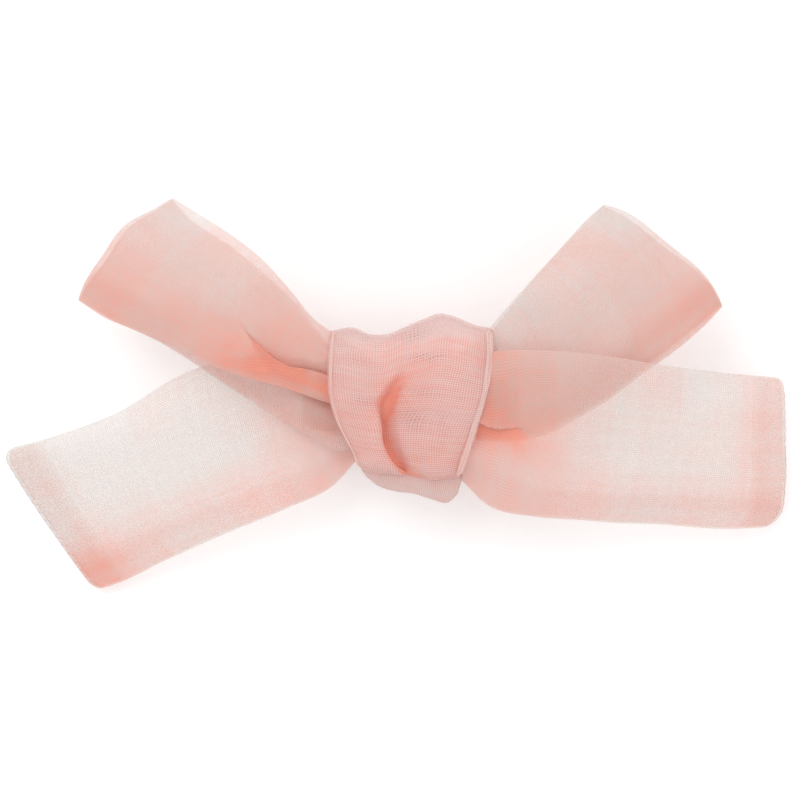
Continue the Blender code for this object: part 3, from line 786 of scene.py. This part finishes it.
weave = weave_group()
PALE = (0.73, 0.67, 0.635)
DEEP = (0.93, 0.37, 0.27)
cloth = organza("organza", weave, PALE, DEEP, 0.28, 0.38, extra=0.24, fade=0.07)
turning_cloth = organza("organza_turning", weave, (0.78, 0.62, 0.58), DEEP, 0.08, 0.22, blush=0.0)
knot_cloth = organza("organza_knot", weave, (0.91, 0.72, 0.69), (0.91, 0.38, 0.29), 0.26, 0.62,
                     rows=1.0, painted_hollow_shade=True)
# painted shade: the flap's cloth is darkened to stand for the shade it lies in
shaded_flap_cloth = organza("organza_flap_painted_shade", weave, (0.72, 0.54, 0.51), (0.72, 0.32, 0.25), 0.34, 0.66)
rim_cloth = organza("organza_rim", weave, (0.90, 0.76, 0.73), (0.90, 0.58, 0.51), 0.28, 0.50)
core_cloth = organza("organza_gathered", weave, (0.90, 0.43, 0.35), (0.88, 0.33, 0.25), 0.9, 1.0)

LEFT_FLAP_LINE = [(0.0, 0.26), (0.085, 0.25), (0.14, 0.18), (0.17, 0.21), (0.20, 0.31),
                  (0.24, 0.44), (0.30, 0.62)]
RIGHT_PLEAT_LINE = [(0.0, 0.60), (0.10, 0.58), (0.20, 0.52), (0.30, 0.44)]
BAND = TURNING / WIDTH


def left_loop_layers_and_shade(along, across):
    """More layers and painted shade: deeper along the lower edge, painted shade under the flap's
    fold edge, deeper fold lines, thin at the tip, and on the back ply paler as painted light where
    the front ply shades it.
    """
    front = 1 - ease(0.50, 0.60, along)
    under = 0.42 * (1 - ease(0.20, 0.62, across)) * (1 - ease(0.55, 0.70, along))
    tip = -0.16 * ease(0.55, 0.85, across) * ease(0.22, 0.36, along) * front
    near = 1 - ease(0.16, 0.30, along)
    flap_edge = np.interp(along, *np.array(LEFT_FLAP_LINE).T) - 0.15
    # painted shade just below the flap's fold edge
    shade = 0.30 * np.exp(-((across - flap_edge + 0.04) / 0.07) ** 2) * near
    on_flap = 0.40 * ease(0.0, 0.05, across - flap_edge) * near
    lines = 0.6 * np.exp(-((across - 0.07) / 0.03) ** 2) * near
    # painted light: the back ply is painted paler where the front ply shades it, and deeper near
    # the knot's end
    back = ease(0.62, 0.72, along)
    pink = back * (0.20 * ease(0.78, 0.92, along) * ease(0.06, 0.16, across) - 0.05)
    return under + tip + (shade + on_flap + lines) * front + pink


def right_loop_layers_and_shade(along, across):
    """Deep at the outer lower corner, thin along the upper edge, and on the back ply paler as
    painted light where the front ply shades it.
    """
    corner = 0.45 * (1 - ease(0.10, 0.50, across)) * ease(0.22, 0.42, along) * (
        1 - ease(0.55, 0.70, along))
    top = -0.22 * ease(0.55, 0.85, across) * (1 - ease(0.50, 0.60, along))
    # the back ply's paler tone is painted light
    return corner + top - 0.30 * ease(0.62, 0.72, along)


def left_tail_fuller(along, across):
    """Deep at the outer lower corner and near the knot, thin in the open."""
    corner = 0.5 * (1 - ease(0.05, 0.45, across)) * ease(0.7, 1.0, along)
    in_the_open = 0.60 * ease(0.22, 0.50, across) * ease(0.20, 0.45, along)
    return corner - in_the_open + 0.50 * (1 - ease(0.12, 0.36, along))


def right_tail_layers_and_shade(along, across):
    """Painted shade in the fold under the pleat's edge, deeper near the knot, thin in the open."""
    # painted shade in the fold below the pleat's edge
    crevice_shade = 1.5 * np.exp(-((across - 0.40) / 0.10) ** 2) * (1 - ease(0.10, 0.30, along))
    near_knot = 0.55 * (1 - ease(0.1, 0.5, along))
    in_the_open = (0.32 * ease(0.24, 0.40, across) * ease(0.30, 0.50, along)
                   * (1 - ease(0.80, 0.90, along)))
    return crevice_shade + near_knot - in_the_open


def edge_fade(along, across):
    """The long turning frays away towards its raw edge."""
    return -0.6 * ease(0.13, BAND, across)


def end_fade(along, across):
    """The end turning frays away towards its raw edge."""
    return -0.5 * (1 - ease(0.885, 0.935, along))


LEFT_LOOP_KIND = {
    "loop": True, "reach": 11.0, "gather": 0.42, "ripple": 0.50, "seed": 11,
    "pleats": [{"hold": LEFT_FLAP_LINE, "size": 0.20, "from": 0.30, "to": 0.13, "rise": 1.5}],
    "layer_shade": left_loop_layers_and_shade,
}
RIGHT_LOOP_KIND = {
    "loop": True, "reach": 10.0, "gather": 0.34, "ripple": 0.45, "seed": 23, "pleats": [],
    "layer_shade": right_loop_layers_and_shade,
}
LEFT_TAIL_KIND = {
    "loop": False, "reach": 9.0, "gather": 0.30, "ripple": 0.40, "seed": 31, "pleats": [],
    "layer_shade": left_tail_fuller,
}
RIGHT_TAIL_KIND = {
    "loop": False, "reach": 9.0, "gather": 0.30, "ripple": 0.40, "seed": 47,
    "pleats": [{"hold": RIGHT_PLEAT_LINE, "size": 0.16, "from": 0.28, "to": 0.12, "rise": 1.5}],
    "layer_shade": right_tail_layers_and_shade,
}
FLAP_KIND = {"loop": False, "reach": 1.0, "gather": 0.0, "ripple": 0.1, "seed": 5, "pleats": []}
LEFT_CORNERS = (1.8, 2.4)
RIGHT_CORNERS = (3.8, 1.8)
RUNS = [
    ("left_tail", LEFT_TAIL, LEFT_TAIL_KIND, 150, LEFT_CORNERS),
    ("right_tail", RIGHT_TAIL, RIGHT_TAIL_KIND, 190, RIGHT_CORNERS),
    ("left_loop", LEFT_LOOP, LEFT_LOOP_KIND, 220, None),
    ("right_loop", RIGHT_LOOP, RIGHT_LOOP_KIND, 220, None),
]
RIBBON_COLUMNS, EDGE_COLUMNS, END_ROWS, END_COLUMNS = 72, 14, 18, 40
THIN_SIDE = 0.012         # how far inside the ribbon's edge a turning starts, as a share

for name, run, kind, rows, corner in RUNS:
    length = lengthwise(run["middle"])
    piece = ribbon(name + "_ribbon", run, kind, rows, RIBBON_COLUMNS, corner=corner)
    dress(piece, cloth)
    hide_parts(name)
    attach(piece, "bow")
    inner_end = 1 - 0.5 / length
    edge = ribbon(name + "_edge_turning", run, dict(kind, layer_shade=edge_fade), rows,
                  EDGE_COLUMNS, span=(0.02, 0.98 if kind["loop"] else inner_end),
                  side=(THIN_SIDE, BAND), gap=TURNING_GAP, corner=corner)
    dress(edge, turning_cloth)
    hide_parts(name)
    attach(edge, "bow")
    if not kind["loop"]:
        end = ribbon(name + "_end_turning", run, dict(kind, layer_shade=end_fade), END_ROWS,
                     END_COLUMNS, span=(1 - TURNING / length, inner_end),
                     side=(THIN_SIDE, 1 - THIN_SIDE),
                     gap=TURNING_GAP * 1.6, corner=corner)
        dress(end, turning_cloth)
        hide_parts(name)
        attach(end, "bow")

wrap = knot_sheet("knot_wrap_ribbon", 150, 110, knot_cloth)
rim = knot_rim("knot_wrap_rim", rim_cloth, 0.925, 0.62, 0.20)
left_rim = knot_rim("knot_wrap_left_fold", rim_cloth, 0.075, 0.26, 0.12)
flap = ribbon("knot_wrap_flap", FLAP, FLAP_KIND, 60, 24)
dress(flap, shaded_flap_cloth)
for piece in (wrap, rim, left_rim, flap):
    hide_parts("knot_wrap")
    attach(piece, "bow")

# the clip, its spring, the glue and the stitches
thread = matt("thread", (0.88, 0.72, 0.68), 0.6, 0.25, 900.0)
steel = metal("nickel_steel", (0.74, 0.72, 0.69), 0.18, 0.34, (60.0, 900.0, 900.0))
spring_steel = metal("spring_steel", (0.42, 0.42, 0.43), 0.24, 0.42, (400.0, 400.0, 400.0))
glue = matt("glue", (0.83, 0.80, 0.72), 0.3, 0.2, 300.0, coat=0.4)
for name in ("clip_top_jaw", "clip_bottom_jaw", "clip_pin"):
    dress(bpy.data.objects[name], steel)
half, coil, wire_r = 2.2, 1.4, 0.3
turns = 5.5
hinge = (-6.0, 3.0)
leg_end, leg_bend = -15.0, -13.8
lower_leg, upper_leg = 0.88, 5.12
coil_points = 133
route = [(leg_end, -half, lower_leg), (leg_bend, -half, lower_leg)]
for share in np.linspace(0.0, 1.0, coil_points):
    angle = -math.pi / 2 + 2 * math.pi * turns * share
    route.append((hinge[0] + coil * math.cos(angle), -half + 2 * half * share,
                  hinge[1] + coil * math.sin(angle)))
route += [(leg_bend, half, upper_leg), (leg_end, half, upper_leg)]
spring = wire("clip_spring_wire", route, wire_r, spring_steel, sides=3)
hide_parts("clip_spring")
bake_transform(spring)
dress(bpy.data.objects["glue_dab"], glue)
for side, run, corner, bite in (("left", LEFT_TAIL, LEFT_CORNERS, 0.36),
                                ("right", RIGHT_TAIL, RIGHT_CORNERS, 0.09)):
    stitches = whip_stitches(side + "_end_whipping", run, corner, thread, bite)
    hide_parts(side + "_end_stitches")
    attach(stitches, "bow")

# the gathered middle: a squared-off ball with ridges that run round it
core_size = np.array([8.4, 8.4, 2.6])
core_place = np.array([0.0, -0.6, 10.9])
squareness = 0.72
let_go()
bpy.ops.mesh.primitive_uv_sphere_add(segments=96, ring_count=64, radius=1.0)
core = bpy.context.active_object
core.name = "gathered_core"
places = np.array([v.co for v in core.data.vertices])
power = np.sign(places) * np.abs(places) ** squareness
ridges = 1 + 0.05 * np.sin(places[:, 1] * 21 + 0.6 * np.sin(places[:, 0] * 3))
power[:, 2] *= ridges * (1 + 0.04 * np.sin(places[:, 1] * 47 + 1))
set_points(core, power * core_size + core_place)
set_layers_and_shade(core, np.ones(len(places)))
merge_doubles(core)
dress(core, core_cloth)
smooth(core)
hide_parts("knot_core")
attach(core, "bow")

# ---------------------------------------------------------------- floor, light and camera

let_go()
bpy.ops.mesh.primitive_plane_add(size=3.0, location=(0.0, 0.0, 0.0))
floor = bpy.context.active_object
floor.name = "floor"
floor_material, _, floor_shader = new_material("floor_white")
floor_shader.inputs["Base Color"].default_value = (0.80, 0.80, 0.80, 1.0)
floor_shader.inputs["Emission Color"].default_value = (1.0, 1.0, 1.0, 1.0)
floor_shader.inputs["Emission Strength"].default_value = 0.24
floor_shader.inputs["Roughness"].default_value = 0.9
floor_shader.inputs["Specular IOR Level"].default_value = 0.0
dress(floor, floor_material)


def softbox(name, place, size, power):
    """A square soft light turned towards the bow."""
    light = bpy.data.lights.new(name, "AREA")
    light.shape = "SQUARE"
    light.size = size
    light.energy = power
    lamp = bpy.data.objects.new(name, light)
    lamp.location = place
    lamp.rotation_mode = "QUATERNION"
    lamp.rotation_quaternion = Vector(place).to_track_quat("Z", "Y")
    bpy.context.scene.collection.objects.link(lamp)


scene = bpy.context.scene
world = bpy.data.worlds.new("studio")
world.use_nodes = True
world.node_tree.nodes["Background"].inputs["Color"].default_value = (1.0, 1.0, 1.0, 1.0)
world.node_tree.nodes["Background"].inputs["Strength"].default_value = 0.86
scene.world = world
softbox("key", (-0.35, 0.45, 0.70), 0.5, 2.0)
softbox("fill", (0.55, -0.25, 0.65), 0.6, 1.0)
scene.view_settings.view_transform = "Standard"
scene.cycles.transparent_max_bounces = 48   # each ply and turning is one more clear layer
scene.cycles.max_bounces = 12
scene.cycles.diffuse_bounces = 6

camera_data = bpy.data.cameras.new("camera")
camera = bpy.data.objects.new("camera", camera_data)
scene.collection.objects.link(camera)
camera_data.lens = 150.0
camera_data.sensor_width = 36.0
camera_data.clip_start = 0.01
camera.location = (-0.0016, 0.0008, 0.549)
camera.rotation_euler = (0.0, 0.0, 0.0)
scene.camera = camera
